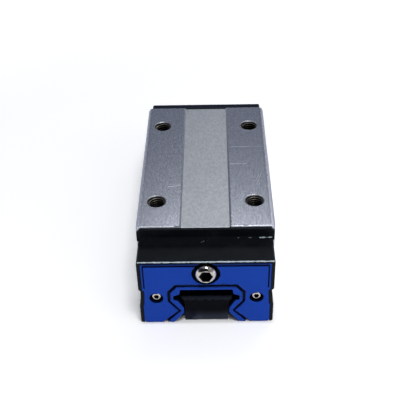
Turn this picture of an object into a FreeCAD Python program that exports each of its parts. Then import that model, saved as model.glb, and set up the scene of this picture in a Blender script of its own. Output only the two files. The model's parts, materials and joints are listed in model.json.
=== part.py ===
"""Linear guide block: a narrow, long recirculating-ball carriage on its plastic mounting rail.

The rail runs along Y, the mounting face looks up along +Z and the front end looks along -Y. The origin
is on the surface that the block stands on, under its centre. Lengths are in millimetres and angles in
degrees.
"""

import FreeCAD, Part
import math
import os
import re
import Sketcher

DIMENSIONS = {
    # steel carriage
    "block_width": 48.0,
    "block_length": 78.6,
    "block_height": 34.0,
    "steel_foot": 1.8,
    "relief_width": 17.8,
    "relief_depth": 0.5,
    "top_chamfer": 0.6,
    "corner_chamfer": 1.2,
    "end_chamfer": 0.3,
    "side_step": 0.6,
    "side_step_height": 16.0,
    "foot_chamfer": 1.0,
    # tapped mounting holes, at their thread's outer diameter
    "bolt_edge": 6.5,
    "bolt_spacing_y": 50.0,
    "bolt_diameter": 6.0,
    "bolt_floor": 4.55,
    "bolt_rim": 7.0,
    "bolt_rim_angle": 90.0,
    # section of the rail that the block runs on: half widths, and heights over the block's underside
    "rail_top": 15.65,
    "rail_top_half": 8.75,
    "shoulder_height": 13.55,
    "shoulder_half": 9.15,
    "ridge_upper": 12.65,
    "ridge_lower": 11.2,
    "ridge_half": 11.3,
    "undercut_height": 10.65,
    "undercut_half": 9.7,
    "waist_upper": 6.9,
    "waist_lower": 4.6,
    "waist_half": 7.75,
    "base_height": 0.4,
    "base_half": 11.15,
    # ball circuits
    "ball_diameter": 4.76,
    "ball_pitch": 4.8,
    "race_gap": 0.06,
    "row_half": 11.4,
    "row_middle": 12.1,
    "row_offset": 3.85,
    "return_shift": 1.1,
    "return_offset": 5.85,
    "return_bore": 5.0,
    "wall_wrap": 35.0,
    "skirt_wrap": 75.0,
    "ceiling_wrap": 51.0,
    # ball retainers
    "cage_gap": 0.05,
    "cage_rail_gap": 0.5,
    "side_cage_angle": 60.0,
    "ceiling_cage_angle": 147.0,
    "ceiling_cage_thickness": 1.3,
    "sill_floor_angle": 255.0,
    "sill_lip_angle": 215.0,
    "sill_tip_angle": 205.0,
    "sill_gap": 1.2,
    "sill_height": 3.7,
    # end caps
    "cap_inset": 0.6,
    "cap_length": 12.1,
    "cap_height": 28.55,
    "cap_corner": 0.5,
    "cap_edge": 0.3,
    "cap_rail_gap": 1.3,
    "cap_foot_chamfer": 0.6,
    "flange_thickness": 0.9,
    "flange_inset": 0.2,
    "flange_drop": 0.5,
    "scoop_share": 0.385,
    "notch_top": 16.0,
    "notch_bottom": 8.8,
    "notch_depth": 0.7,
    "dimple_diameter": 2.0,
    "dimple_distance": 2.4,
    "dimple_depth": 0.25,
    # end seals
    "seal_border": 1.2,
    "seal_border_top": 0.75,
    "seal_fit": 0.1,
    "seal_thickness": 2.2,
    "seal_proud": 0.2,
    "seal_foot": 0.25,
    "seal_rail_gap": 0.25,
    "seal_waist_round": 1.3,
    "lip_width": 1.7,
    "lip_rise": 0.35,
    "lip_groove": 0.9,
    "lip_groove_depth": 0.9,
    "rim_inset": 0.6,
    "rim_groove": 0.8,
    "rim_side_groove": 0.5,
    "rim_groove_depth": 0.6,
    # room round every threaded shank
    "thread_gap": 0.05,
    # cap screws
    "screw_room": 0.5,
    "screw_height": 12.0,
    "screw_head": 3.3,
    "screw_recess": 0.7,
    "screw_shank": 2.4,
    "screw_reach": 7.0,
    "screw_tip_gap": 1.0,
    "screw_socket": 1.6,
    "screw_socket_depth": 1.2,
    "screw_ring": 0.8,
    "screw_gap": 0.15,
    # grease-port plugs
    "plug_drop": 5.25,
    "plug_head": 7.6,
    "plug_head_edge": 1.3,
    "plug_proud": 1.5,
    "plug_shank": 6.0,
    "plug_shank_length": 5.0,
    "plug_tip_gap": 0.4,
    "plug_socket": 4.1,
    "plug_socket_depth": 2.6,
    "plug_ring": 1.1,
    # return guides, round which the balls turn back
    "turn_gap": 0.07,
    "guide_gap": 0.05,
    "guide_bar": 1.2,
    # bottom seals
    "bottom_seal_thickness": 1.2,
    "bottom_seal_gap": 0.3,
    "bottom_seal_inset": 0.6,
    # mounting rail
    "carrier_top": 11.15,
    "carrier_head": 1.7,
    "carrier_gap": 0.1,
    "carrier_step": 1.0,
    "carrier_foot": 0.5,
    "carrier_recess": 0.9,
    "carrier_chamfer": 1.1,
}

ENDS = {"front": 1, "rear": -1}
SIDES = {"left": -1, "right": 1}
LEVELS = {"upper": 1, "lower": -1}

# Balls are many and small, so each has few flat faces.
BALL_SIDES = 6
BALL_BANDS = 3

# Edges and corners closer than this count as being in the same place.
NEAR = 0.01

# Places that several pieces share, as expressions of the dimensions.
CAP_HALF = "(block_width / 2 - cap_inset)"
SCOOP_RADIUS = "((block_height - flange_drop - cap_height) * scoop_share)"
SEAL_FRONT = "(cap_length + seal_proud)"
SEAL_BACK = "(cap_length + seal_proud - seal_thickness)"
SCREW_HEAD_HEIGHT = "(seal_thickness - screw_recess)"
PLUG_HEAD_HEIGHT = "(seal_thickness + plug_proud)"
RACE_RADIUS = "(ball_diameter / 2 + race_gap)"
CAGE_RADIUS = "(ball_diameter / 2 + cage_gap)"
UPPER_ROW = "(row_middle + row_offset)"
LOWER_ROW = "(row_middle - row_offset)"
WALL_HALF = f"(row_half + {RACE_RADIUS} * cos(wall_wrap * 1 deg))"
SKIRT_HALF = f"(row_half + {RACE_RADIUS} * cos(skirt_wrap * 1 deg))"
CEILING = f"({UPPER_ROW} + {RACE_RADIUS} * sin(ceiling_wrap * 1 deg))"
RETURN_HALF = "((row_half + block_width / 2) / 2 + return_shift)"
BOLT_DEPTH = "(block_height - bolt_floor - row_middle - return_offset - return_bore / 2)"
TURN_RADIUS = f"(sqrt(({RETURN_HALF} - row_half) ^ 2 + (return_offset - row_offset) ^ 2) / 2)"
TURN_HALF = f"((row_half + {RETURN_HALF}) / 2)"
TURN_OFFSET = "((row_offset + return_offset) / 2)"
TURN_DEPTH = f"({TURN_RADIUS} - return_bore / 2 + turn_gap)"
SCREW_HALF = f"({TURN_HALF} + (guide_bar + screw_shank) / 2 + screw_room)"
SCREW_PLACES = [(f"{hand} * {SCREW_HALF}", "screw_height") for hand in SIDES.values()]
PLUG_PLACE = ("0", "cap_height - plug_drop")

doc = FreeCAD.newDocument("linear_guide_block")
dims = doc.addObject("Spreadsheet::Sheet", "Dims")
for cell, (alias, number) in enumerate(DIMENSIONS.items(), start=1):
    dims.set(f"A{cell}", alias)
    dims.set(f"B{cell}", str(number))
    dims.setAlias(f"B{cell}", alias)
doc.recompute()

pieces = []


def bound(expression):
    """The expression with each dimension's name pointed at its cell of the sheet."""
    def cell_of(word):
        return f"Dims.{word[0]}" if word[0] in DIMENSIONS else word[0]

    return re.sub(r"[a-z_]+", cell_of, expression)


def value(expression):
    """The expression's number at the present dimensions."""
    return float(dims.evalExpression(expression))


def new_body(name):
    """An empty body for one sub-part."""
    body = doc.addObject("PartDesign::Body", name)
    body.Label = name
    pieces.append(body)
    return body


def new_sketch(body, plane, offset="0"):
    """A sketch on one of the body's own planes, moved along the plane's normal."""
    sketch = body.newObject("Sketcher::SketchObject", "Sketch")
    support = next(feature for feature in body.Origin.OriginFeatures if feature.Role == plane)
    sketch.AttachmentSupport = (support, [""])
    sketch.MapMode = "FlatFace"
    sketch.setExpression("AttachmentOffset.Base.z", bound(offset))
    return sketch


def end_sketch(body, end, distance):
    """A sketch across the guide, at a distance out from one end of the steel."""
    return new_sketch(body, "XZ_Plane", f"{ENDS[end]} * (block_length / 2 + {distance})")


def pin(sketch, geometry, point, place):
    """Hold one point of a sketch at the place that two expressions give."""
    for axis, expression in zip(("DistanceX", "DistanceY"), place):
        index = sketch.addConstraint(Sketcher.Constraint(axis, -1, 1, geometry, point, value(expression)))
        sketch.setExpression(f"Constraints[{index}]", bound(expression))


def add_polygon(sketch, corners):
    """A closed outline through the corners."""
    first = sketch.GeometryCount
    count = len(corners)
    places = [FreeCAD.Vector(value(across), value(up), 0) for across, up in corners]
    for i, place in enumerate(places):
        sketch.addGeometry(Part.LineSegment(place, places[(i + 1) % count]))
    for i, corner in enumerate(corners):
        sketch.addConstraint(Sketcher.Constraint("Coincident", first + (i - 1) % count, 2, first + i, 1))
        pin(sketch, first + i, 1, corner)


def add_circle(sketch, centre, diameter):
    """A circle with its centre and diameter held."""
    middle = FreeCAD.Vector(value(centre[0]), value(centre[1]), 0)
    circle = sketch.addGeometry(Part.Circle(middle, FreeCAD.Vector(0, 0, 1), value(diameter) / 2))
    pin(sketch, circle, 3, centre)
    index = sketch.addConstraint(Sketcher.Constraint("Diameter", circle, value(diameter)))
    sketch.setExpression(f"Constraints[{index}]", bound(diameter))


def add_hexagon(sketch, centre, across_flats):
    """A hexagon socket's outline, with two corners level with its centre."""
    reach = f"{across_flats} / sqrt(3)"
    add_polygon(sketch, [
        (f"{centre[0]} + {reach} * cos({turn} deg)", f"{centre[1]} + {reach} * sin({turn} deg)")
        for turn in range(0, 360, 60)
    ])


def mirrored(right):
    """A closed outline from its right half, which runs from its top to the end that faces the other half."""
    return right + [(f"-({across})", up) for across, up in reversed(right)]


def sided(side, corners):
    """The corners of a piece on one side, given as on the right."""
    return [(f"{SIDES[side]} * ({across})", up) for across, up in corners]


def extrude(body, kind, sketch, length, both=False, reverse=False):
    """A pad or pocket of the sketch, which has to change the body's volume."""
    before = 0 if body.Shape.isNull() else body.Shape.Volume
    feature = body.newObject(f"PartDesign::{kind}", kind)
    feature.Profile = sketch
    feature.SideType = "Symmetric" if both else "One side"
    feature.Reversed = reverse
    feature.setExpression("Length", bound(length))
    doc.recompute()
    change = body.Shape.Volume - before
    if (change <= 0) if kind == "Pad" else (change >= 0):
        raise RuntimeError(f"{kind} in {body.Label} changed nothing")


def end_extrude(body, kind, end, sketch, length):
    """A pad outwards, or a pocket inwards, at one end of the guide."""
    extrude(body, kind, sketch, length, reverse=end == "rear")


def lies(edge, **places):
    """Whether the whole edge is at the given places, such as y and z."""
    box = edge.BoundBox
    spans = {"x": (box.XMin, box.XMax), "y": (box.YMin, box.YMax), "z": (box.ZMin, box.ZMax)}
    return all(abs(bound_at - place) < NEAR for axis, place in places.items() for bound_at in spans[axis])


def dress(body, kind, amount, chosen):
    """A fillet or chamfer on the chosen edges."""
    base = body.Tip
    names = [f"Edge{i}" for i, edge in enumerate(base.Shape.Edges, start=1) if chosen(edge)]
    feature = body.newObject(f"PartDesign::{kind}", kind)
    feature.Base = (base, names)
    feature.setExpression("Radius" if kind == "Fillet" else "Size", bound(amount))
    doc.recompute()


def end_plane(end, distance):
    """The Y of a plane at a distance out from one end of the steel."""
    return -ENDS[end] * value(f"block_length / 2 + {distance}")


def row_centre(side, level):
    """Centre of a loaded ball row in the section."""
    return f"{SIDES[side]} * row_half", f"row_middle + {LEVELS[level]} * row_offset"


def return_centre(side, level):
    """Centre of a return bore in the section."""
    return f"{SIDES[side]} * {RETURN_HALF}", f"row_middle + {LEVELS[level]} * return_offset"


def rail_outline(gap):
    """Right half of the rail's section from the top down, with room all round."""
    return [
        (f"rail_top_half + {gap}", f"rail_top + {gap}"),
        (f"shoulder_half + {gap}", f"shoulder_height + {gap}"),
        (f"ridge_half + {gap}", f"ridge_upper + {gap}"),
        (f"ridge_half + {gap}", f"ridge_lower - {gap}"),
        (f"undercut_half + {gap}", f"undercut_height - {gap}"),
        (f"waist_half + {gap}", "waist_upper"),
        (f"waist_half + {gap}", "waist_lower"),
        (f"base_half + {gap}", "base_height"),
    ]


def cap_side(inset, top, foot):
    """Right side of an end cap's outline, set in by the same amount all the way down."""
    half = f"{CAP_HALF} - ({inset})"
    return [
        (f"{half} - cap_corner", top),
        (half, f"{top} - cap_corner"),
        (half, "notch_top"),
        (f"{half} - notch_depth", "notch_top - notch_depth"),
        (f"{half} - notch_depth / 2", "notch_bottom"),
        (half, "notch_bottom - notch_depth / 2"),
        (half, f"{foot} + cap_foot_chamfer"),
        (f"{half} - cap_foot_chamfer", foot),
    ]


def cage_line_height(row, angle, across):
    """Height of the line that touches a ball's clearance circle at an angle, at a distance across."""
    return f"{row} + ({CAGE_RADIUS} - ({across} - row_half) * cos({angle} * 1 deg)) / sin({angle} * 1 deg)"


def cage_line_across(row, angle, height):
    """Distance across of the line that touches a ball's clearance circle at an angle, at a height."""
    return f"row_half + ({CAGE_RADIUS} - ({height} - {row}) * sin({angle} * 1 deg)) / cos({angle} * 1 deg)"


def turn_sketch(body, end, side, level, diameter):
    """A circle in the plane of a ball turn, which leans with the line from raceway to return bore."""
    sketch = new_sketch(body, "XY_Plane")
    lean = FreeCAD.Vector(0, -SIDES[side] * LEVELS[level], 0)
    sketch.AttachmentOffset = FreeCAD.Placement(FreeCAD.Vector(), FreeCAD.Rotation(lean, 1))
    slope = f"atan((return_offset - row_offset) / ({RETURN_HALF} - row_half))"
    sketch.setExpression("AttachmentOffset.Rotation.Angle", bound(slope))
    sketch.setExpression("AttachmentOffset.Base.x", bound(f"{SIDES[side]} * {TURN_HALF}"))
    sketch.setExpression("AttachmentOffset.Base.z", bound(f"row_middle + {LEVELS[level]} * {TURN_OFFSET}"))
    add_circle(sketch, ("0", f"{-ENDS[end]} * (block_length / 2 + {TURN_DEPTH})"), diameter)
    return sketch


def make_carriage_body():
    """Hardened steel body with its raceways, return bores and tapped holes."""
    body = new_body("carriage_body")
    half = "block_width / 2"
    section = new_sketch(body, "XZ_Plane")
    add_polygon(section, mirrored([
        ("relief_width / 2 - relief_depth", "block_height - relief_depth"),
        ("relief_width / 2", "block_height"),
        (f"{half} - top_chamfer", "block_height"),
        (half, "block_height - top_chamfer"),
        (half, "side_step_height"),
        (f"{half} - side_step", "side_step_height - side_step"),
        (f"{half} - side_step", "steel_foot + foot_chamfer"),
        (f"{half} - side_step - foot_chamfer", "steel_foot"),
        (SKIRT_HALF, "steel_foot"),
        (SKIRT_HALF, LOWER_ROW),
        (WALL_HALF, LOWER_ROW),
        (WALL_HALF, UPPER_ROW),
        ("row_half", UPPER_ROW),
        ("row_half", CEILING),
    ]))
    extrude(body, "Pad", section, "block_length", both=True)
    ball_ways = new_sketch(body, "XZ_Plane")
    for side in SIDES:
        for level in LEVELS:
            add_circle(ball_ways, row_centre(side, level), f"2 * {RACE_RADIUS}")
            add_circle(ball_ways, return_centre(side, level), "return_bore")
    extrude(body, "Pocket", ball_ways, "2 * block_length", both=True)
    for end in ENDS:
        tapped = end_sketch(body, end, "0")
        for screw in SCREW_PLACES:
            add_circle(tapped, screw, "screw_shank + 2 * thread_gap")
        end_extrude(body, "Pocket", end, tapped, "screw_reach + screw_tip_gap")
    wide = value(half)
    long = value("block_length / 2")
    dress(body, "Chamfer", "corner_chamfer", lambda edge: any(
        lies(edge, x=across, y=along) for across in (-wide, wide) for along in (-long, long)))
    relieved = value("block_height - relief_depth")
    dress(body, "Chamfer", "end_chamfer", lambda edge: any(
        lies(edge, y=along) and edge.BoundBox.ZMin > relieved - NEAR and lies(edge, z=edge.BoundBox.ZMin)
        for along in (-long, long)))
    centres = new_sketch(body, "XY_Plane", "block_height")
    for across in (-1, 1):
        for along in (-1, 1):
            place = (f"{across} * ({half} - bolt_edge)", f"{along} * bolt_spacing_y / 2")
            add_circle(centres, place, "bolt_diameter")
    doc.recompute()
    holes = body.newObject("PartDesign::Hole", "Hole")
    holes.Profile = centres
    holes.DrillPoint = "Flat"
    holes.HoleCutType = "Countersink"
    holes.HoleCutCustomValues = True
    holes.setExpression("Diameter", bound("bolt_diameter"))
    holes.setExpression("Depth", bound(BOLT_DEPTH))
    holes.setExpression("HoleCutDiameter", bound("bolt_rim"))
    holes.setExpression("HoleCutCountersinkAngle", bound("bolt_rim_angle"))
    doc.recompute()


def make_end_cap(end):
    """Moulded cap with a scooped top, a recess for the seal and the outer side of the ball turns."""
    body = new_body(f"{end}_end_cap")
    outline = end_sketch(body, end, "0")
    passage = rail_outline("cap_rail_gap")
    add_polygon(outline, mirrored(
        cap_side("0", "cap_height", "0") + [("base_half + cap_rail_gap", "0")] + passage[::-1]))
    end_extrude(body, "Pad", end, outline, "cap_length")
    flange = end_sketch(body, end, "0")
    flange_top = "block_height - flange_drop"
    flange_half = "block_width / 2 - flange_inset"
    add_polygon(flange, mirrored([
        (f"{flange_half} - corner_chamfer", flange_top),
        (flange_half, f"{flange_top} - corner_chamfer"),
        (flange_half, "cap_height"),
        (f"{CAP_HALF} - cap_corner", "cap_height - cap_corner"),
    ]))
    end_extrude(body, "Pad", end, flange, "flange_thickness")
    ledge = value("cap_height")
    foot_of_flange = end_plane(end, "flange_thickness")
    front = end_plane(end, "cap_length")
    dress(body, "Fillet", SCOOP_RADIUS, lambda edge: lies(edge, y=foot_of_flange, z=ledge))
    dress(body, "Fillet", "cap_edge", lambda edge: lies(edge, y=front, z=ledge))
    recess = end_sketch(body, end, "cap_length")
    add_polygon(recess, mirrored(
        cap_side("seal_border", "cap_height - seal_border_top", "-cap_foot_chamfer")))
    end_extrude(body, "Pocket", end, recess, f"cap_length - {SEAL_BACK}")
    screw_holes = end_sketch(body, end, SEAL_BACK)
    for screw in SCREW_PLACES:
        add_circle(screw_holes, screw, "screw_shank + 2 * screw_gap")
    end_extrude(body, "Pocket", end, screw_holes, SEAL_BACK)
    grease_port = end_sketch(body, end, SEAL_BACK)
    add_circle(grease_port, PLUG_PLACE, "plug_shank + 2 * thread_gap")
    end_extrude(body, "Pocket", end, grease_port, "plug_shank_length + plug_tip_gap")
    dimple = new_sketch(body, "XY_Plane", f"cap_height + {SCOOP_RADIUS}")
    add_circle(dimple, ("0", f"{-ENDS[end]} * (block_length / 2 + dimple_distance)"), "dimple_diameter")
    extrude(body, "Pocket", dimple, f"{SCOOP_RADIUS} + dimple_depth")
    for side in SIDES:
        for level in LEVELS:
            turn = turn_sketch(body, end, side, level, f"2 * {TURN_RADIUS} + return_bore")
            extrude(body, "Pocket", turn, "return_bore", both=True)
    bars = end_sketch(body, end, f"{TURN_DEPTH} + guide_gap")
    for side in SIDES:
        add_polygon(bars, sided(side, guide_bar_outline("guide_gap")))
    end_extrude(body, "Pocket", end, bars, f"{TURN_DEPTH} + guide_gap")


def guide_bar_outline(gap):
    """Outline of the bar that joins a return guide's two posts, as on the right, with room all round."""
    half = f"(guide_bar / 2 + {gap})"
    return [
        (f"{TURN_HALF} - {half}", f"row_middle - {TURN_OFFSET}"),
        (f"{TURN_HALF} + {half}", f"row_middle - {TURN_OFFSET}"),
        (f"{TURN_HALF} + {half}", f"row_middle + {TURN_OFFSET}"),
        (f"{TURN_HALF} - {half}", f"row_middle + {TURN_OFFSET}"),
    ]


def make_return_guide(end, side):
    """Insert with two round posts, the inner side of the upper and lower ball turns."""
    body = new_body(f"{end}_{side}_return_guide")
    bar = end_sketch(body, end, "0")
    add_polygon(bar, sided(side, guide_bar_outline("0")))
    end_extrude(body, "Pad", end, bar, TURN_DEPTH)
    for level in LEVELS:
        post = turn_sketch(body, end, side, level, f"2 * {TURN_RADIUS} - return_bore")
        extrude(body, "Pad", post, "return_bore - 2 * guide_gap", both=True)


def make_end_seal(end):
    """Moulded seal whose lip follows the rail."""
    body = new_body(f"{end}_end_seal")
    outline = end_sketch(body, end, SEAL_BACK)
    side = cap_side("seal_border + seal_fit", "cap_height - seal_border_top - seal_fit", "seal_foot")
    opening = rail_outline("seal_rail_gap")
    add_polygon(outline, mirrored(side + [("base_half + seal_rail_gap", "seal_foot")] + opening[::-1]))
    end_extrude(body, "Pad", end, outline, "seal_thickness")
    waist = value("waist_half + seal_rail_gap")
    dress(body, "Fillet", "seal_waist_round", lambda edge: any(
        lies(edge, x=across, z=value(height))
        for across in (-waist, waist) for height in ("waist_upper", "waist_lower")))
    holes = end_sketch(body, end, SEAL_FRONT)
    for screw in SCREW_PLACES:
        add_circle(holes, screw, "screw_head + 2 * screw_ring")
    add_circle(holes, PLUG_PLACE, "plug_head + 2 * plug_ring")
    end_extrude(body, "Pocket", end, holes, "seal_thickness")
    lip_groove = end_sketch(body, end, SEAL_FRONT)
    outer = lip_outline("(lip_width + lip_groove / 2)")
    inner = lip_outline("(lip_width - lip_groove / 2)")
    add_polygon(lip_groove, mirrored(outer + inner[::-1]))
    end_extrude(body, "Pocket", end, lip_groove, "lip_groove_depth")
    rim_groove = end_sketch(body, end, SEAL_FRONT)
    rim_half = f"{CAP_HALF} - seal_border - rim_inset"
    rim_top = "cap_height - seal_border_top - rim_inset"
    rim_foot = "notch_top + rim_inset"
    add_polygon(rim_groove, mirrored([
        (rim_half, rim_top),
        (rim_half, rim_foot),
        (f"{rim_half} - rim_side_groove", rim_foot),
        (f"{rim_half} - rim_side_groove", f"{rim_top} - rim_groove"),
    ]))
    end_extrude(body, "Pocket", end, rim_groove, "rim_groove_depth")


def lip_outline(width):
    """Right half of a line that runs round the seal's opening at a width from the rail, out past its foot."""
    return [
        (f"rail_top_half + {width}", f"rail_top + lip_rise + {width}"),
        (f"ridge_half + {width}", f"ridge_upper + lip_rise + {width}"),
        (f"ridge_half + {width}", f"ridge_lower - {width} / 2"),
        (f"waist_half + {width}", "(waist_upper + waist_lower) / 2"),
        (f"base_half + base_height + 2 * {width}", "0"),
    ]


def make_cap_screws(end):
    """Pair of socket-head screws that hold an end cap to the steel."""
    body = new_body(f"{end}_cap_screws")
    heads = end_sketch(body, end, SEAL_BACK)
    for screw in SCREW_PLACES:
        add_circle(heads, screw, "screw_head")
    end_extrude(body, "Pad", end, heads, SCREW_HEAD_HEIGHT)
    shanks = end_sketch(body, end, "-screw_reach")
    for screw in SCREW_PLACES:
        add_circle(shanks, screw, "screw_shank")
    end_extrude(body, "Pad", end, shanks, f"screw_reach + {SEAL_BACK}")
    sockets = end_sketch(body, end, f"{SEAL_BACK} + {SCREW_HEAD_HEIGHT}")
    for screw in SCREW_PLACES:
        add_hexagon(sockets, screw, "screw_socket")
    end_extrude(body, "Pocket", end, sockets, "screw_socket_depth")


def make_grease_plug(end):
    """Socket-head plug of a grease port."""
    body = new_body(f"{end}_grease_plug")
    front = f"{SEAL_BACK} + {PLUG_HEAD_HEIGHT}"
    head = end_sketch(body, end, SEAL_BACK)
    add_circle(head, PLUG_PLACE, "plug_head")
    end_extrude(body, "Pad", end, head, PLUG_HEAD_HEIGHT)
    shank = end_sketch(body, end, f"{SEAL_BACK} - plug_shank_length")
    add_circle(shank, PLUG_PLACE, "plug_shank")
    end_extrude(body, "Pad", end, shank, "plug_shank_length")
    head_front = end_plane(end, front)
    dress(body, "Chamfer", "plug_head_edge", lambda edge: lies(edge, y=head_front))
    socket = end_sketch(body, end, front)
    add_hexagon(socket, PLUG_PLACE, "plug_socket")
    end_extrude(body, "Pocket", end, socket, "plug_socket_depth")


def make_strip(name, corners):
    """A strip as long as the steel, from the corners of its section."""
    body = new_body(name)
    section = new_sketch(body, "XZ_Plane")
    add_polygon(section, corners)
    extrude(body, "Pad", section, "block_length", both=True)


def make_retainers():
    """Strips that keep the balls in their raceways when no rail is in the block."""
    ceiling_foot = f"({CEILING} - ceiling_cage_thickness)"
    make_strip("ceiling_ball_retainer", mirrored([
        (cage_line_across(UPPER_ROW, "ceiling_cage_angle", CEILING), CEILING),
        (cage_line_across(UPPER_ROW, "ceiling_cage_angle", ceiling_foot), ceiling_foot),
    ]))
    lip = "(ridge_half + cage_rail_gap)"
    below = "(-side_cage_angle)"
    sill_corner = "((sill_floor_angle + sill_lip_angle) / 2 * 1 deg)"
    sill_corner_reach = f"{CAGE_RADIUS} / cos((sill_floor_angle - sill_lip_angle) / 2 * 1 deg)"
    sill_tip_reach = f"{CAGE_RADIUS} / cos((sill_lip_angle - sill_tip_angle) * 1 deg)"
    sill_tip = f"{LOWER_ROW} + {sill_tip_reach} * sin(sill_tip_angle * 1 deg)"
    for side in SIDES:
        make_strip(f"{side}_ball_retainer", sided(side, [
            (WALL_HALF, cage_line_height(UPPER_ROW, below, WALL_HALF)),
            (lip, cage_line_height(UPPER_ROW, below, lip)),
            (lip, cage_line_height(LOWER_ROW, "side_cage_angle", lip)),
            (WALL_HALF, cage_line_height(LOWER_ROW, "side_cage_angle", WALL_HALF)),
        ]))
        make_strip(f"{side}_ball_sill", sided(side, [
            (SKIRT_HALF, cage_line_height(LOWER_ROW, "sill_floor_angle", SKIRT_HALF)),
            (f"row_half + {sill_corner_reach} * cos({sill_corner})",
             f"{LOWER_ROW} + {sill_corner_reach} * sin({sill_corner})"),
            (f"row_half + {sill_tip_reach} * cos(sill_tip_angle * 1 deg)", sill_tip),
            ("waist_half + sill_gap", f"{sill_tip} - cage_rail_gap"),
            ("waist_half + sill_gap", "sill_height + sill_gap"),
            ("waist_half + 2 * sill_gap", "sill_height"),
            (SKIRT_HALF, "sill_height"),
        ]))


def make_bottom_seals():
    """Strips that close the underside of the steel beside the rail."""
    inner = "base_half + bottom_seal_gap"
    outer = "block_width / 2 - side_step - foot_chamfer - bottom_seal_inset"
    for side in SIDES:
        make_strip(f"{side}_bottom_seal", sided(side, [
            (inner, "steel_foot"),
            (outer, "steel_foot"),
            (outer, "steel_foot - bottom_seal_thickness"),
            (inner, "steel_foot - bottom_seal_thickness"),
        ]))


def ball(radius, centre):
    """One ball as a closed solid of flat faces, with its corners on the true sphere."""
    def corner(band, turn):
        polar = math.pi * band / BALL_BANDS
        around = 2 * math.pi * turn / BALL_SIDES
        ring = radius * math.sin(polar)
        height = radius * math.cos(polar)
        return centre + FreeCAD.Vector(ring * math.cos(around), ring * math.sin(around), height)

    faces = []
    for band in range(BALL_BANDS):
        for turn in range(BALL_SIDES):
            corners = [corner(band, turn), corner(band + 1, turn)]
            corners += [corner(band + 1, turn + 1), corner(band, turn + 1)]
            distinct = []
            for place in corners:
                if all(place.distanceToPoint(other) > NEAR for other in distinct):
                    distinct.append(place)
            faces.append(Part.Face(Part.makePolygon(distinct + distinct[:1])))
    solid = Part.Solid(Part.Shell(faces))
    if solid.Volume < 0:
        solid.reverse()
    return solid


def make_balls(side, level):
    """The loaded row of balls in one raceway."""
    name = f"{level}_{side}_balls"
    row = doc.addObject("Part::Feature", name)
    row.Label = name
    pieces.append(row)
    across, up = (value(place) for place in row_centre(side, level))
    pitch = value("ball_pitch")
    count = int(value("block_length") / pitch)
    along = [(i - (count - 1) / 2) * pitch for i in range(count)]
    row.Shape = Part.makeCompound(
        [ball(value("ball_diameter / 2"), FreeCAD.Vector(across, place, up)) for place in along])
    row.Placement = FreeCAD.Placement()


def make_mounting_rail():
    """Plastic bar that holds the balls in until the block goes on its rail."""
    body = new_body("mounting_rail")
    section = new_sketch(body, "XZ_Plane")
    add_polygon(section, mirrored([
        ("shoulder_half - carrier_gap", "carrier_top"),
        ("shoulder_half - carrier_gap", "carrier_top - carrier_head"),
        ("waist_half - carrier_gap", "waist_upper + carrier_step"),
        ("waist_half - carrier_gap", "carrier_foot"),
    ]))
    extrude(body, "Pad", section, f"block_length + 2 * ({SEAL_FRONT} - carrier_recess)", both=True)
    faces = [end_plane(end, f"{SEAL_FRONT} - carrier_recess") for end in ENDS]
    head_foot = value("carrier_top - carrier_head")
    dress(body, "Chamfer", "carrier_chamfer", lambda edge: any(
        lies(edge, y=face) and edge.BoundBox.ZMin > head_foot - NEAR for face in faces))


make_carriage_body()
for end in ENDS:
    make_end_cap(end)
    make_end_seal(end)
    make_cap_screws(end)
    make_grease_plug(end)
    for side in SIDES:
        make_return_guide(end, side)
make_retainers()
make_bottom_seals()
for side in SIDES:
    for level in LEVELS:
        make_balls(side, level)
make_mounting_rail()

doc.recompute()
failed = [item.Label for item in doc.Objects if {"Invalid", "Error"} & set(item.State)]
failed += [piece.Label for piece in pieces if piece.Shape.isNull() or not piece.Shape.isValid()]
if failed:
    raise RuntimeError(f"not built: {failed}")
os.makedirs("parts", exist_ok=True)
for piece in pieces:
    piece.Shape.exportStep(f"parts/{piece.Label}.step")
    print(f"{piece.Label}: {len(piece.Shape.Solids)} solids, {piece.Shape.Volume:.1f} mm3")
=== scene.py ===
# %% [markdown]
# # A linear guide block
#
# The object is the steel carriage of a profile-rail guide, as it comes out of its box: a ground
# steel body, a black moulded cap and a blue seal at each end, and a dark plastic mounting rail in
# the passage that keeps the balls in until the block goes on its rail. The solids are already
# modelled to size, so this lesson loads them as a frame that nothing moves, and gives them their
# finishes and their small detail.

# %% Load the frame
import json
import math

import bmesh
import bpy
from mathutils import Matrix, Vector


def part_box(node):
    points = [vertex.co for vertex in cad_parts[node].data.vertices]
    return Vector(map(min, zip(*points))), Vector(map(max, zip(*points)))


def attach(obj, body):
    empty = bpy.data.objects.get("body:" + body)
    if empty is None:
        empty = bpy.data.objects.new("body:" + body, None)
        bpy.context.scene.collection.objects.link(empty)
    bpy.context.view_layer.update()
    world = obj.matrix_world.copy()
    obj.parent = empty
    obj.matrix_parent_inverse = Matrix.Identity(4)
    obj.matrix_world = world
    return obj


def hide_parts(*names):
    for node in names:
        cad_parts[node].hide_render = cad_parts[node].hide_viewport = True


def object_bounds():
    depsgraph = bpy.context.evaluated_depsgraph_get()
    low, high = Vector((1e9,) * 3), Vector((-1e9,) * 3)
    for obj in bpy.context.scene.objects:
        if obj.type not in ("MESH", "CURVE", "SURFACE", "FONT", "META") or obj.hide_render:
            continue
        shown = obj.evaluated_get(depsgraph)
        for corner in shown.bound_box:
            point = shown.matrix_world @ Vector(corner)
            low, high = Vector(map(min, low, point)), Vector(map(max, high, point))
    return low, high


MM = 0.001

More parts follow.
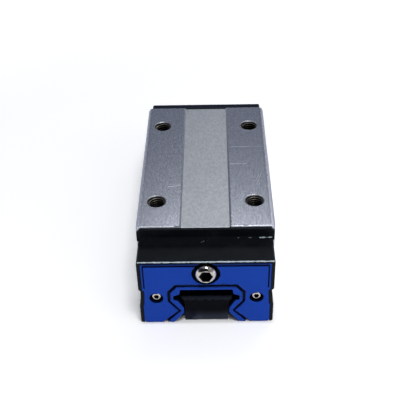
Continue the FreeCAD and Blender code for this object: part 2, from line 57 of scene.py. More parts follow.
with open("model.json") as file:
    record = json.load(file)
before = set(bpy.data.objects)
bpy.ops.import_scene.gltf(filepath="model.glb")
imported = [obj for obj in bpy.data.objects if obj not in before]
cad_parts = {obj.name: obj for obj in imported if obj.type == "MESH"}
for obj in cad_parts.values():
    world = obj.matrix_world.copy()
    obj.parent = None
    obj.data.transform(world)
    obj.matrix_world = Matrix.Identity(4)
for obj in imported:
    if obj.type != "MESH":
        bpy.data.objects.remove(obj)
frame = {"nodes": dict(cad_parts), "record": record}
nodes = frame["nodes"]
cad_box = [list(corner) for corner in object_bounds()]
overall = [round(high - low, 4) for low, high in zip(*cad_box)]
print(f"{len(nodes)} solids loaded, {overall} m overall")

# %% [markdown]
# ## Camera
#
# The photograph looks down on the front end at about 38 degrees, from 0.3 m away and with a slight
# roll. Blender's Track To constraint could aim the camera, but it can't roll it. So the camera's
# three axes are worked out from its pitch, yaw and roll, and set as a matrix.

# %% Camera
IMAGE_PIXELS = 416
FOCAL_PIXELS = 748
SENSOR_WIDTH = 36
NEAREST_SEEN = 10 * MM
CAMERA_PLACE = Vector((3.54, -235.78, 197.61)) * MM
PITCH = math.radians(38.37)
YAW = math.radians(-0.73)
ROLL = math.radians(1.18)

level_forward = Vector((math.sin(YAW), math.cos(YAW), 0))
level_right = Vector((math.cos(YAW), -math.sin(YAW), 0))
forward = math.cos(PITCH) * level_forward - math.sin(PITCH) * Vector((0, 0, 1))
level_down = forward.cross(level_right)
right = math.cos(ROLL) * level_right + math.sin(ROLL) * level_down
down = math.cos(ROLL) * level_down - math.sin(ROLL) * level_right
camera_axes = Matrix((right, -down, -forward)).transposed().to_4x4()

camera_data = bpy.data.cameras.new("photo_camera")
camera_data.sensor_width = SENSOR_WIDTH
camera_data.lens = SENSOR_WIDTH * FOCAL_PIXELS / IMAGE_PIXELS
camera_data.clip_start = NEAREST_SEEN
camera = bpy.data.objects.new("photo_camera", camera_data)
camera.matrix_world = Matrix.Translation(CAMERA_PLACE) @ camera_axes
bpy.context.scene.collection.objects.link(camera)
bpy.context.scene.camera = camera
print(f"camera with a {camera_data.lens:.1f} mm lens, {CAMERA_PLACE.length:.3f} m from the origin")

# %% [markdown]
# ## Helpers for node trees
#
# Materials and Geometry Nodes are both trees of nodes and links. One helper adds a node and fills
# its inputs, with a value or with another node's output, so that each tree below reads from its
# start to its end. The others are the few kinds of node that come up again and again.


# %% Helpers for node trees
def feed(tree, socket, source):
    """Link an input to another node's output, or set it to a value."""
    if isinstance(source, bpy.types.NodeSocket):
        tree.links.new(source, socket)
    else:
        socket.default_value = source


def add_node(tree, kind, inputs=None, **settings):
    """A new node, with its settings, and its inputs given as values or as other nodes' outputs."""
    node = tree.nodes.new(kind)
    for name, setting in settings.items():
        setattr(node, name, setting)
    for name, source in (inputs or {}).items():
        feed(tree, node.inputs[name], source)
    return node


def calculate(tree, operation, *operands):
    """Output of a Math node."""
    inputs = dict(enumerate(operands))
    return add_node(tree, "ShaderNodeMath", inputs, operation=operation).outputs[0]


def rescale(tree, value, low, high, to_low=0.0, to_high=1.0):
    """The value moved smoothly from one range to another, and held at its ends."""
    ends = {"From Min": low, "From Max": high, "To Min": to_low, "To Max": to_high}
    scaled = add_node(tree, "ShaderNodeMapRange", {"Value": value, **ends},
                      interpolation_type="SMOOTHSTEP")
    return scaled.outputs["Result"]


def combine(tree, operation, output, *vectors):
    """Output of a Vector Math node."""
    inputs = dict(enumerate(vectors))
    return add_node(tree, "ShaderNodeVectorMath", inputs, operation=operation).outputs[output]


def split(tree, vector):
    """The X, Y and Z of a vector."""
    return add_node(tree, "ShaderNodeSeparateXYZ", {"Vector": vector}).outputs


def join(tree, **axes):
    """A vector from its X, Y and Z, where one that isn't given is 0."""
    return add_node(tree, "ShaderNodeCombineXYZ", axes).outputs[0]


print("helpers for nodes ready")


# %% Helpers for materials
def mix_values(tree, factor, first, second):
    """Output of a Mix node for numbers. Its sockets share their names, so they go by place."""
    return add_node(tree, "ShaderNodeMix", {0: factor, 2: first, 3: second}).outputs[0]


def mix_colours(tree, factor, first, second):
    """Output of a Mix node for colours."""
    inputs = {0: factor, 6: first, 7: second}
    return add_node(tree, "ShaderNodeMix", inputs, data_type="RGBA").outputs[2]


def new_group(name, inputs, outputs):
    """An empty shader node group, with its sockets from (type, default) and type."""
    group = bpy.data.node_groups.new(name, "ShaderNodeTree")
    for socket, (kind, default) in inputs.items():
        made = group.interface.new_socket(socket, in_out="INPUT", socket_type=kind)
        made.default_value = default
    for socket, kind in outputs.items():
        group.interface.new_socket(socket, in_out="OUTPUT", socket_type=kind)
    entry = group.nodes.new("NodeGroupInput").outputs
    leave = group.nodes.new("NodeGroupOutput").inputs
    return group, entry, leave


def place_group(tree, group, inputs):
    """The outputs of a shared group, placed in a material."""
    return add_node(tree, "ShaderNodeGroup", inputs, node_tree=group).outputs


def new_material(name, **constants):
    """A material with its tree, its Principled shader with constants, and Object coordinates."""
    material = bpy.data.materials.new(name)
    material.use_nodes = True
    tree = material.node_tree
    shader = tree.nodes["Principled BSDF"]
    for socket, constant in constants.items():
        shader.inputs[socket.replace("_", " ")].default_value = constant
    place = tree.nodes.new("ShaderNodeTexCoord").outputs["Object"]
    return material, tree, shader, place


print("helpers for materials ready")

# %% [markdown]
# ## Shared effects
#
# Four effects come up in more than one finish: grain, soiling, round edges and single marks. Each
# is a node group that is built once. Grain and soiling are noise at two very different scales.
# Real edges are never sharp. A Bevel modifier could round them off, but the solids stay as they
# are, so the Bevel node bends the normal there instead, and where that normal turns away from the
# true one there is an edge, which gives a mask for wear. A mark is the distance to a short line.

# %% Grain
FLOAT = "NodeSocketFloat"
VECTOR = "NodeSocketVector"
ORIGIN = (0, 0, 0)
FLECK_RANGE = (0.3, 0.7)

grain_group, entry, leave = new_group(
    "grain",
    {"Vector": (VECTOR, ORIGIN), "Frequency": (VECTOR, (1000, 1000, 1000)), "Detail": (FLOAT, 3)},
    {"Height": FLOAT, "Fleck": FLOAT},
)
stretched = combine(grain_group, "MULTIPLY", "Vector", entry["Vector"], entry["Frequency"])
fine = add_node(grain_group, "ShaderNodeTexNoise", {
    "Vector": stretched, "Scale": 1, "Detail": entry["Detail"]}).outputs["Fac"]
feed(grain_group, leave["Height"], fine)
feed(grain_group, leave["Fleck"], rescale(grain_group, fine, *FLECK_RANGE))
print("group: grain")

# %% Soiling
PATCH_RANGE = (0.42, 0.68)

soiling_group, entry, leave = new_group(
    "soiling", {"Vector": (VECTOR, ORIGIN), "Patch": (FLOAT, 10 * MM)}, {"Mask": FLOAT})
clouds = add_node(soiling_group, "ShaderNodeTexNoise", {
    "Vector": entry["Vector"], "Scale": calculate(soiling_group, "DIVIDE", 1, entry["Patch"]),
    "Detail": 5, "Roughness": 0.6, "Distortion": 0.4}).outputs["Fac"]
feed(soiling_group, leave["Mask"], rescale(soiling_group, clouds, *PATCH_RANGE))
print("group: soiling")

# %% Round edges
# cosines of the bend from which the wear starts and at which it is full
EDGE_BEND = (0.995, 0.90)

edge_group, entry, leave = new_group(
    "round_edges", {"Radius": (FLOAT, 0.3 * MM)}, {"Mask": FLOAT, "Normal": VECTOR})
rounded = add_node(edge_group, "ShaderNodeBevel", {"Radius": entry["Radius"]}, samples=8).outputs[0]
true_normal = edge_group.nodes.new("ShaderNodeNewGeometry").outputs["True Normal"]
alike = combine(edge_group, "DOT_PRODUCT", "Value", rounded, true_normal)
feed(edge_group, leave["Mask"], rescale(edge_group, alike, *EDGE_BEND))
feed(edge_group, leave["Normal"], rounded)
print("group: round edges")

# %% Single marks
MARK_FADE = (1.4, 0.6)
RAGGED_FREQUENCY = 900

mark_group, entry, leave = new_group(
    "mark",
    {"Vector": (VECTOR, ORIGIN), "Start": (VECTOR, ORIGIN), "End": (VECTOR, ORIGIN),
     "Width": (FLOAT, 0.3 * MM)},
    {"Mask": FLOAT},
)
line = combine(mark_group, "SUBTRACT", "Vector", entry["End"], entry["Start"])
offset = combine(mark_group, "SUBTRACT", "Vector", entry["Vector"], entry["Start"])
along = calculate(mark_group, "DIVIDE", combine(mark_group, "DOT_PRODUCT", "Value", offset, line),
                  combine(mark_group, "DOT_PRODUCT", "Value", line, line))
held = calculate(mark_group, "MINIMUM", calculate(mark_group, "MAXIMUM", along, 0), 1)
nearest = add_node(mark_group, "ShaderNodeVectorMath", {0: line, "Scale": held}, operation="SCALE")
distance = combine(mark_group, "DISTANCE", "Value", offset, nearest.outputs[0])
ragged = add_node(mark_group, "ShaderNodeTexNoise", {
    "Vector": entry["Vector"], "Scale": RAGGED_FREQUENCY, "Detail": 2}).outputs["Fac"]
reach = calculate(mark_group, "MULTIPLY", entry["Width"], ragged)
share = calculate(mark_group, "DIVIDE", distance, reach)
feed(mark_group, leave["Mask"], rescale(mark_group, share, *MARK_FADE))


def lay_marks(tree, place, marks):
    """Mask of several marks, each with its start, end and width in millimetres, and strength."""
    mask = 0.0
    for start, end, width, strength in marks:
        mark = place_group(tree, mark_group, {
            "Vector": place, "Start": Vector(start) * MM, "End": Vector(end) * MM,
            "Width": width * MM})["Mask"]
        mask = calculate(tree, "MAXIMUM", mask, calculate(tree, "MULTIPLY", mark, strength))
    return mask


print("group: mark")

# %% [markdown]
# ## Ground steel
#
# The body is hardened steel, ground along its length: the two pads are smooth and mirror the studio
# softly, and the relieved strip between them is left rougher, so it looks paler and flatter. Fine
# mottling with a few streaks along Y gives the grinding. A pale band along each long edge is a
# painted highlight. The chamfers, the end edges and the rims of the holes are duller than the
# ground faces; the rims of the holes are darkened as a painted dimmer reflection, the walls of the
# holes are nearly black with painted shade, and the sloped walls of the relieved strip carry
# painted shade, stronger on the right. All these could be painted on as vertex colours, but the
# mesh of a solid is left alone, so they are found by their places, in Object coordinates. Scratches
# and dark nicks are where the photograph has them.

# %% Marks on the steel
PAD_TOP = 34.0
SCRATCHES_AND_SHEEN = [
    # start, end, width and strength
    ((9.9, 9.4), (16.6, 9.5), 0.20, 0.45),
    ((16.6, 9.5), (22.9, 9.4), 0.13, 0.35),
    ((9.3, -2.3), (15.4, -2.2), 0.16, 0.5),
    ((-13.7, -16.4), (-9.2, -15.6), 0.22, 0.7),
    ((18.9, -14.7), (21.1, -7.8), 0.12, 0.3),
    ((17.6, -15.6), (19.9, -9.2), 0.10, 0.2),
    ((-8.4, 12.0), (-8.2, 14.0), 0.40, 0.7),
    # pale bands along the long edges: a painted highlight where their chamfers catch the light
    ((23.2, -38.6), (23.2, 38.6), 0.55, 0.35),
    ((-23.2, -38.6), (-23.2, 38.6), 0.45, 0.2),
]
NICKS = [
    ((-10.6, -39.1), (-8.8, -39.1), 0.40, 0.9),
    ((13.1, -38.9), (14.6, -38.9), 0.34, 0.9),
    # the dull line just inside each long edge
    ((22.4, -38.0), (22.4, 38.0), 0.6, 0.16),
    ((-22.4, -38.0), (-22.4, 38.0), 0.5, 0.10),
]


def on_pads(marks):
    """The marks, raised to the height of the pads."""
    return [((*start, PAD_TOP), (*end, PAD_TOP), width, strength)
            for start, end, width, strength in marks]


print(f"{len(SCRATCHES_AND_SHEEN)} scratches and {len(NICKS)} nicks")

# %% Ground steel, by place
FADE = 0.1 * MM
STRIP_HALF = 8.65 * MM
STRIP_TOP = 33.5 * MM
STRIP_BAND = 0.2 * MM
RELIEF_EDGE = 0.3 * MM
SLOPE_SHADE_LEFT, SLOPE_SHADE_RIGHT = 0.55, 0.8
CHAMFER_START = 23.4 * MM
END_CHAMFER = 39.0 * MM

ground_steel, tree, shader, place = new_material("ground_steel", Metallic=1.0)
across, along, height = split(tree, place)
sideways = calculate(tree, "ABSOLUTE", across)
from_strip_top = calculate(tree, "ABSOLUTE", calculate(tree, "SUBTRACT", height, STRIP_TOP))
in_strip = calculate(tree, "MULTIPLY", rescale(tree, sideways, STRIP_HALF, STRIP_HALF - FADE),
                     rescale(tree, from_strip_top, STRIP_BAND, 0))
from_strip = calculate(tree, "ABSOLUTE", calculate(tree, "SUBTRACT", sideways, STRIP_HALF))
on_slope = calculate(tree, "MULTIPLY", rescale(tree, from_strip, RELIEF_EDGE, RELIEF_EDGE / 2),
                     rescale(tree, height, STRIP_TOP - STRIP_BAND, STRIP_TOP))
# painted shade on the sloped walls of the relieved strip, stronger on the right wall
painted_dark = calculate(tree, "MULTIPLY", on_slope,
                  rescale(tree, across, -STRIP_HALF, STRIP_HALF, SLOPE_SHADE_LEFT, SLOPE_SHADE_RIGHT))
on_chamfer = rescale(tree, sideways, CHAMFER_START, CHAMFER_START + FADE)
on_end = rescale(tree, calculate(tree, "ABSOLUTE", along),
                 END_CHAMFER - FADE / 2, END_CHAMFER + FADE / 2)
print(f"strip {2 * STRIP_HALF / MM:.1f} mm wide")

# %% Ground steel, round the holes
HOLE_RIM = 3.5 * MM
HOLE_FADE = 0.45 * MM
HOLE_FLOOR = 20 * MM
FLOOR_FADE = 1 * MM

bolts = next(mount for mount in frame["record"]["mounts"] if mount["name"] == "top_bolts")
hole_spacing = [bolts["dims"][axis] * MM for axis in ("spacing_x_mm", "spacing_y_mm")]
aside, onward = (
    calculate(tree, "SUBTRACT", calculate(tree, "ABSOLUTE", axis), spacing / 2)
    for axis, spacing in zip((across, along), hole_spacing))
from_hole = combine(tree, "LENGTH", "Value", join(tree, X=aside, Y=onward))
at_hole = rescale(tree, from_hole, HOLE_RIM + FADE / 2, HOLE_RIM - FADE / 2)
in_hole = calculate(tree, "MULTIPLY", rescale(tree, from_hole, HOLE_RIM, HOLE_RIM - HOLE_FADE),
                    rescale(tree, height, HOLE_FLOOR - FLOOR_FADE, HOLE_FLOOR))
print(f"holes {[round(spacing / MM) for spacing in hole_spacing]} mm apart")

# %% Ground steel, its colour
STREAK_FREQUENCY = (4200, 160, 4200)
MOTTLE_FREQUENCY = (1500, 700, 1500)
STREAK_SHARE = 0.4
PAD_TONES = [(0.375, 0.391, 0.445, 1), (0.568, 0.590, 0.664, 1)]
STRIP_TONES = [(0.418, 0.436, 0.459, 1), (0.518, 0.539, 0.566, 1)]


def cover(tree, colour, layers):
    """A colour with others laid over it, each with its mask, its strength and its tone."""
    for mask, strength, tone in layers:
        covered = calculate(tree, "MULTIPLY", mask, strength)
        colour = mix_colours(tree, covered, colour, (*tone, 1))
    return colour


streaks = place_group(tree, grain_group, {
    "Vector": place, "Frequency": STREAK_FREQUENCY, "Detail": 4})
mottle = place_group(tree, grain_group, {
    "Vector": place, "Frequency": MOTTLE_FREQUENCY, "Detail": 2.5})
smudges = place_group(tree, soiling_group, {"Vector": place, "Patch": 14 * MM})["Mask"]
edges = place_group(tree, edge_group, {"Radius": 0.35 * MM})
scratches_and_sheen = lay_marks(tree, place, on_pads(SCRATCHES_AND_SHEEN))
nicks = lay_marks(tree, place, on_pads(NICKS))
pad_grain = mix_values(tree, STREAK_SHARE, mottle["Fleck"], streaks["Fleck"])
pad_colour = mix_colours(tree, pad_grain, *PAD_TONES)
strip_colour = mix_colours(tree, mottle["Fleck"], *STRIP_TONES)
colour = cover(tree, mix_colours(tree, in_strip, pad_colour, strip_colour), [
    (smudges, 0.18, (0.30, 0.31, 0.35)),
    (edges["Mask"], 0.25, (0.70, 0.72, 0.76)),
    (on_chamfer, 0.7, (0.32, 0.33, 0.42)),
    # painted shade on the sloped walls of the relieved strip
    (painted_dark, 1, (0.10, 0.105, 0.12)),
    # a painted dimmer reflection on the rims of the holes, and painted shade down their walls
    (at_hole, 0.5, (0.17, 0.165, 0.14)),
    (in_hole, 1, (0.006, 0.0055, 0.005)),
    # the scratches, and the painted highlight along the long edges
    (scratches_and_sheen, 1, (0.92, 0.94, 0.97)),
    (nicks, 1, (0.07, 0.07, 0.08)),
])
feed(tree, shader.inputs["Base Color"], colour)
print("ground steel: colour")

# %% Ground steel, its gloss and relief
PAD_ROUGHNESS = (0.24, 0.25)
STRIP_ROUGHNESS = (0.43, 0.45)
SCRATCH_DEPTH = 0.8


def add_relief(tree, shader, strength, depth, inputs):
    """A Bump node on the shader, with its height, and the normal that it starts from."""
    bump = add_node(tree, "ShaderNodeBump", {"Strength": strength, "Distance": depth, **inputs})
    feed(tree, shader.inputs["Normal"], bump.outputs["Normal"])


roughness = mix_values(tree, in_strip, rescale(tree, pad_grain, 0, 1, *PAD_ROUGHNESS),
                       rescale(tree, mottle["Fleck"], 0, 1, *STRIP_ROUGHNESS))
dull_edges = calculate(tree, "MAXIMUM", on_end, calculate(tree, "MAXIMUM", on_chamfer, at_hole))
for mask, rougher in ((dull_edges, 0.2), (scratches_and_sheen, 0.2), (smudges, 0.015)):
    roughness = calculate(tree, "MULTIPLY_ADD", mask, rougher, roughness)
feed(tree, shader.inputs["Roughness"], roughness)
relief = mix_values(tree, in_strip, pad_grain, mottle["Height"])
relief = calculate(tree, "MULTIPLY_ADD", scratches_and_sheen, -SCRATCH_DEPTH, relief)
add_relief(tree, shader, strength=0.1, depth=0.01 * MM, inputs={
    "Height": relief, "Normal": edges["Normal"]})
print("ground steel: gloss and relief")

# %% [markdown]
# ## Plastics and rubber
#
# The caps are black moulded plastic with a satin skin, the seals blue rubber on a plate, the
# mounting rail a dark extrusion and the ball guides natural white plastic. Each could have a tree
# of its own, but they differ only in colour, gloss and grain size, so one recipe makes them all.
# Where a piece has more, the recipe takes it as a list: pale marks, which on the caps and the
# mounting rail are painted highlights and painted light, dark marks, which on the seals are painted
# shade under the cap's ledge and along the grooves, and hollows too dull to shine. Edges turn pale
# where they are worn. The mounting rail's foot is paler towards the bottom with painted light, and
# the grooves of the seals are darkened with painted shade.


# %% Plastics and rubber
# dark tone for a dark tint and for painted shade
DIRT_AND_SHADE_TONE = (0.001, 0.003, 0.014)
FLECK_GAIN = 1.12
DUST_GRAINS = 30
SKIN_SPREAD = 0.04
DUST_DULLS = 0.06
HOLLOW_DULLS = 0.5
FOOT_LIGHT_LEAST = 0.6


def moulded(name, base, pale, grain, roughness, specular, edge, dusty=0.05, tint=(1, 1, 1),
            marks=(), dirt_and_shade=(), hollows=(), painted_foot_light=None, painted_groove_shade=None):
    """A moulded finish, with painted light on its foot and painted shade in its grooves, where
    asked.
    """
    material, tree, shader, place = new_material(
        name, Specular_IOR_Level=specular, Specular_Tint=(*tint, 1))
    skin = place_group(tree, grain_group, {
        "Vector": place, "Frequency": (1 / grain, 1 / grain, 1 / grain), "Detail": 3})
    dust = place_group(tree, soiling_group, {"Vector": place, "Patch": DUST_GRAINS * grain})["Mask"]
    edges = place_group(tree, edge_group, {"Radius": 0.3 * MM})
    worn = calculate(tree, "MULTIPLY", edges["Mask"], edge)
    paler = calculate(tree, "MAXIMUM", worn, lay_marks(tree, place, marks))
    # painted light: the foot turns paler towards the bottom, where it catches light from the floor
    if painted_foot_light:
        low_down = rescale(tree, split(tree, place)["Z"], *painted_foot_light)
        foot = calculate(tree, "MULTIPLY", low_down, rescale(tree, dust, 0, 1, FOOT_LIGHT_LEAST, 1))
        paler = calculate(tree, "MAXIMUM", paler, foot)
    layers = [
        (skin["Fleck"], 1, [channel * FLECK_GAIN for channel in base]),
        (dust, dusty, pale),
        # pale: worn edges, painted highlights and painted light from the marks, and painted light
        # on the foot
        (paler, 1, pale),
        # dark marks: painted shade on the seals, and a darker tint on the rear cap ledge and the
        # rail's foot
        (lay_marks(tree, place, dirt_and_shade), 1, DIRT_AND_SHADE_TONE),
    ]
    # painted shade in the grooves, darker the further in they lie
    if painted_groove_shade:
        outward = calculate(tree, "ABSOLUTE", split(tree, place)["Y"])
        layers.append((rescale(tree, outward, *painted_groove_shade), 1, DIRT_AND_SHADE_TONE))
    feed(tree, shader.inputs["Base Color"], cover(tree, (*base, 1), layers))
    rough = rescale(tree, skin["Fleck"], 0, 1, roughness - SKIN_SPREAD, roughness + SKIN_SPREAD)
    rough = calculate(tree, "MULTIPLY_ADD", dust, DUST_DULLS, rough)
    rough = calculate(tree, "MULTIPLY_ADD", lay_marks(tree, place, hollows), HOLLOW_DULLS, rough)
    feed(tree, shader.inputs["Roughness"], rough)
    add_relief(tree, shader, strength=0.3, depth=0.04 * grain, inputs={
        "Height": skin["Height"], "Normal": edges["Normal"]})
    print(f"moulded finish: {name}")
    return material


# %% Marks on the caps
CAP_HIGHLIGHTS = [
    # painted highlights along the front edges of the two ledges, and painted glints in the crease
    # of the front one
    ((-22.8, -51.2, 28.5), (22.9, -51.2, 28.5), 0.44, 1.0),
    ((-22.8, 51.2, 28.5), (22.9, 51.2, 28.5), 0.45, 0.1),
    ((11.2, -40.2, 29.6), (11.5, -40.2, 29.6), 0.40, 0.4),
    ((14.9, -40.2, 29.6), (15.7, -40.2, 29.6), 0.45, 0.5),
    ((18.8, -40.2, 29.6), (22.6, -40.2, 29.6), 0.50, 1.0),
    # a painted highlight on the near rim of the ejector mark
    ((-0.7, -41.0, 28.8), (0.5, -40.9, 28.8), 0.35, 0.22),
    ((-1.5, -41.5, 28.7), (-0.8, -41.0, 28.8), 0.30, 0.06),
]
CAP_HOLLOWS = [
    # between each ledge and its flange, where dust stays
    ((-24.5, -41.2, 28.8), (24.5, -41.2, 28.8), 2.6, 1.0),
    ((-24.5, 41.2, 28.8), (24.5, 41.2, 28.8), 2.6, 1.0),
]
CAP_REAR_TINT = [
    # the rear ledge, tinted dark blue
    ((-23.0, 49.6, 28.5), (23.0, 49.6, 28.5), 4.5, 0.8),
]
print(f"caps: {len(CAP_HIGHLIGHTS)} marks, {len(CAP_HOLLOWS)} hollows and {len(CAP_REAR_TINT)} stain")

# %% Marks on the seals and the mounting rail
SEAL_FACE = 51.6
GROOVE_TOP, GROOVE_FLOOR = 0.1, 0.35
# the groove round the lip, from the top of the opening out to its foot
LIP_GROOVE = [(10.4, 17.7), (13.0, 14.7), (13.0, 10.4), (9.5, 5.7), (14.9, 0.0)]

seal_shade = []
for end in (-SEAL_FACE, SEAL_FACE):
    seal_shade += [
        # painted shade in the narrow band above the upper groove, under the cap's ledge, and along
        # the top of the lip's groove
        ((-21.0, end, 27.5), (21.0, end, 27.5), 0.8, 0.7),
        ((-10.4, end, 17.8), (10.4, end, 17.8), 1.5, 0.7),
    ]
    # painted shade along the groove round the lip
    for side in (-1, 1):
        corners = [(side * out, end, up) for out, up in LIP_GROOVE]
        seal_shade += [(start, stop, 1.2, 0.55) for start, stop in zip(corners, corners[1:])]
RAIL_PAINTED_LIGHT = [
    # painted light on the chamfer round the head of the front end
    ((-8.8, -50.2, 10.6), (8.8, -50.2, 10.6), 1.5, 0.25),
    ((-9.2, -50.2, 9.7), (-9.2, -50.2, 10.9), 1.2, 0.4),
    ((9.2, -50.2, 9.7), (9.2, -50.2, 10.9), 1.2, 0.4),
]
RAIL_LEFT_DARKENING = [
    # its foot is darker on the left
    ((-7.6, -50.7, 1.0), (-5.4, -50.7, 3.2), 3.6, 0.7),
]
print(f"seals: {len(seal_shade)} stains, mounting rail: {len(RAIL_PAINTED_LIGHT)} marks")

# %% The five moulded finishes
MOULDED = {
    "cap_plastic": {
        "base": (0.0030, 0.0034, 0.0046), "pale": (0.50, 0.59, 0.65), "grain": 0.25 * MM,
        "roughness": 0.42, "specular": 0.10, "edge": 0.015, "dusty": 0.006,
        "tint": (0.70, 0.86, 1.0), "marks": CAP_HIGHLIGHTS, "dirt_and_shade": CAP_REAR_TINT,
        "hollows": CAP_HOLLOWS},
    "seal_blue": {
        "base": (0.008, 0.056, 0.41), "pale": (0.03, 0.12, 0.60), "grain": 0.4 * MM,
        # the seal's dark marks and its grooves are painted shade
        "roughness": 0.45, "specular": 0.07, "edge": 0.15, "dirt_and_shade": seal_shade,
        "painted_groove_shade": ((SEAL_FACE - GROOVE_TOP) * MM, (SEAL_FACE - GROOVE_FLOOR) * MM)},
    "bottom_rubber": {
        "base": (0.010, 0.010, 0.012), "pale": (0.05, 0.05, 0.05), "grain": 0.3 * MM,
        "roughness": 0.6, "specular": 0.2, "edge": 0.3},
    "inner_plastic": {
        "base": (0.60, 0.58, 0.52), "pale": (0.75, 0.74, 0.70), "grain": 0.5 * MM,
        "roughness": 0.42, "specular": 0.4, "edge": 0.3},
    "carrier_plastic": {
        "base": (0.0012, 0.0016, 0.0030), "pale": (0.055, 0.065, 0.095), "grain": 0.35 * MM,
        # the rail's pale marks and its paler foot are painted light
        "roughness": 0.35, "specular": 0.03, "edge": 0.15, "dusty": 0.02, "marks": RAIL_PAINTED_LIGHT,
        "dirt_and_shade": RAIL_LEFT_DARKENING, "painted_foot_light": (5.4 * MM, 0.4 * MM)},
}
finishes = {"ground_steel": ground_steel}
finishes.update({name: moulded(name, **recipe) for name, recipe in MOULDED.items()})

# %% [markdown]
# ## Bright steel
#
# The plugs, screws and balls are bright steel: turned and plated on the fasteners, polished on the
# balls. Polished steel could be one plain mirror, but it shows little except what is round it, so
# faint soiling and a fine grain keep it from looking like a drawing. The front plug has a painted
# dark reflection under the brow of its head. Sockets and the deep turns of a thread get painted
# shade, and the meshes that are made below carry an attribute that says where.


# %% Bright steel
GREASE_SHARE = 0.35
GREASE_SHADE = 0.6
GREASE_DULLS = 0.06
SMOOTHEST, ROUGHEST = 0.8, 1.25
# tone of the painted dark reflection
DARK_REFLECTION = (0.035, 0.028, 0.024)
# tone of the painted shade in sockets and in the deep turns of threads
RECESS_SHADE = (0.012, 0.012, 0.014)


def plated(name, base, roughness, grain, painted_dark=()):
    """A bright metal with a fine turned grain and a breath of grease, with painted shade and dark
    reflections.
    """
    material, tree, shader, place = new_material(name, Metallic=1.0)
    turned_grain = place_group(tree, grain_group, {
        "Vector": place, "Frequency": (1 / grain, 1 / grain, 1 / grain), "Detail": 3})
    grease = place_group(tree, soiling_group, {"Vector": place, "Patch": 3 * MM})["Mask"]
    shade = add_node(tree, "ShaderNodeAttribute", attribute_name="socket_shade").outputs["Fac"]
    feed(tree, shader.inputs["Base Color"], cover(tree, (*base, 1), [
        (grease, GREASE_SHARE, [channel * GREASE_SHADE for channel in base]),
        # painted dark reflection from the marks
        (lay_marks(tree, place, painted_dark), 1, DARK_REFLECTION),
        # painted shade where the mesh's socket_shade attribute says
        (shade, 1, RECESS_SHADE),
    ]))
    rough = rescale(tree, turned_grain["Fleck"], 0, 1, roughness * SMOOTHEST,
                    roughness * ROUGHEST)
    rough = calculate(tree, "MULTIPLY_ADD", grease, GREASE_DULLS, rough)
    feed(tree, shader.inputs["Roughness"], rough)
    add_relief(tree, shader, strength=0.2, depth=0.01 * MM, inputs={
        "Height": turned_grain["Height"]})
    print(f"bright metal: {name}")
    return material


# a painted dark reflection on the upper part of the front plug's dome
PLUG_DARK_REFLECTION = [((-2.1, -52.6, 26.0), (2.3, -52.6, 26.0), 1.3, 0.75)]
finishes["bright_steel"] = plated(
    "bright_steel", (0.54, 0.51, 0.475), 0.12, 0.2 * MM, PLUG_DARK_REFLECTION)
finishes["ball_steel"] = plated("ball_steel", (0.68, 0.69, 0.71), 0.08, 0.6 * MM)
thread_steel = plated("thread_steel", (0.30, 0.275, 0.235), 0.24, 0.15 * MM)

# %% [markdown]
# ## Finishes on the solids
#
# Every solid names a slot in the record. The finishes could be given out one by one, but by slot no
# solid can be forgotten.

# %% Finishes on the solids
for subpart in frame["record"]["subparts"]:
    solid = nodes[subpart["node"]]
    for slot in solid.material_slots:
        slot.material = finishes[subpart["material_slot"]]

# %% [markdown]
# ## Geometry Nodes helpers
#
# Threads, fasteners and balls repeat, so Geometry Nodes make them. A tree is built with named
# inputs, put on an empty mesh as a modifier, and evaluated once. What it gives is kept as a plain
# mesh, because the export drops instances. Every tree ends alike: real geometry, smooth shading up
# to an angle, and its material.


# %% Geometry Nodes helpers, for trees
def new_shape_tree(name, inputs):
    """An empty geometry tree with its inputs by name and default, and its material."""
    tree = bpy.data.node_groups.new(name, "GeometryNodeTree")
    for socket, default in inputs.items():
        kind = "NodeSocketInt" if isinstance(default, int) else FLOAT
        made = tree.interface.new_socket(socket, in_out="INPUT", socket_type=kind)
        made.default_value = default
    tree.interface.new_socket("Material", in_out="INPUT", socket_type="NodeSocketMaterial")
    tree.interface.new_socket("Geometry", in_out="OUTPUT", socket_type="NodeSocketGeometry")
    return tree, tree.nodes.new("NodeGroupInput").outputs


def change(tree, kind, shape, inputs, **settings):
    """Output of a node that changes a geometry."""
    return add_node(tree, kind, {"Geometry": shape, **inputs}, **settings).outputs[0]


def repeat(tree, points, shape):
    """The shape, once on each point."""
    return add_node(tree, "GeometryNodeInstanceOnPoints", {
        "Points": points, "Instance": shape}).outputs[0]


def shade_by(tree, shape, shade):
    """The shape, with the shade that darkens its finish."""
    return change(tree, "GeometryNodeStoreNamedAttribute", shape, {
        "Name": "socket_shade", "Value": shade}, data_type="FLOAT", domain="POINT")


def end_shape_tree(tree, entry, shape, sharp_from):
    """Close a tree: real geometry, shading that is smooth up to an angle, and its material."""
    shape = change(tree, "GeometryNodeRealizeInstances", shape, {})
    shape = change(tree, "GeometryNodeSetShadeSmooth", shape, {"Shade Smooth": True})
    bend = tree.nodes.new("GeometryNodeInputMeshEdgeAngle").outputs["Unsigned Angle"]
    sharp = calculate(tree, "GREATER_THAN", bend, sharp_from)
    shape = change(tree, "GeometryNodeSetShadeSmooth", shape, {
        "Selection": sharp, "Shade Smooth": False}, domain="EDGE")
    shape = change(tree, "GeometryNodeSetMaterial", shape, {"Material": entry["Material"]})
    add_node(tree, "NodeGroupOutput", {"Geometry": shape})


print("helpers for shape trees ready")


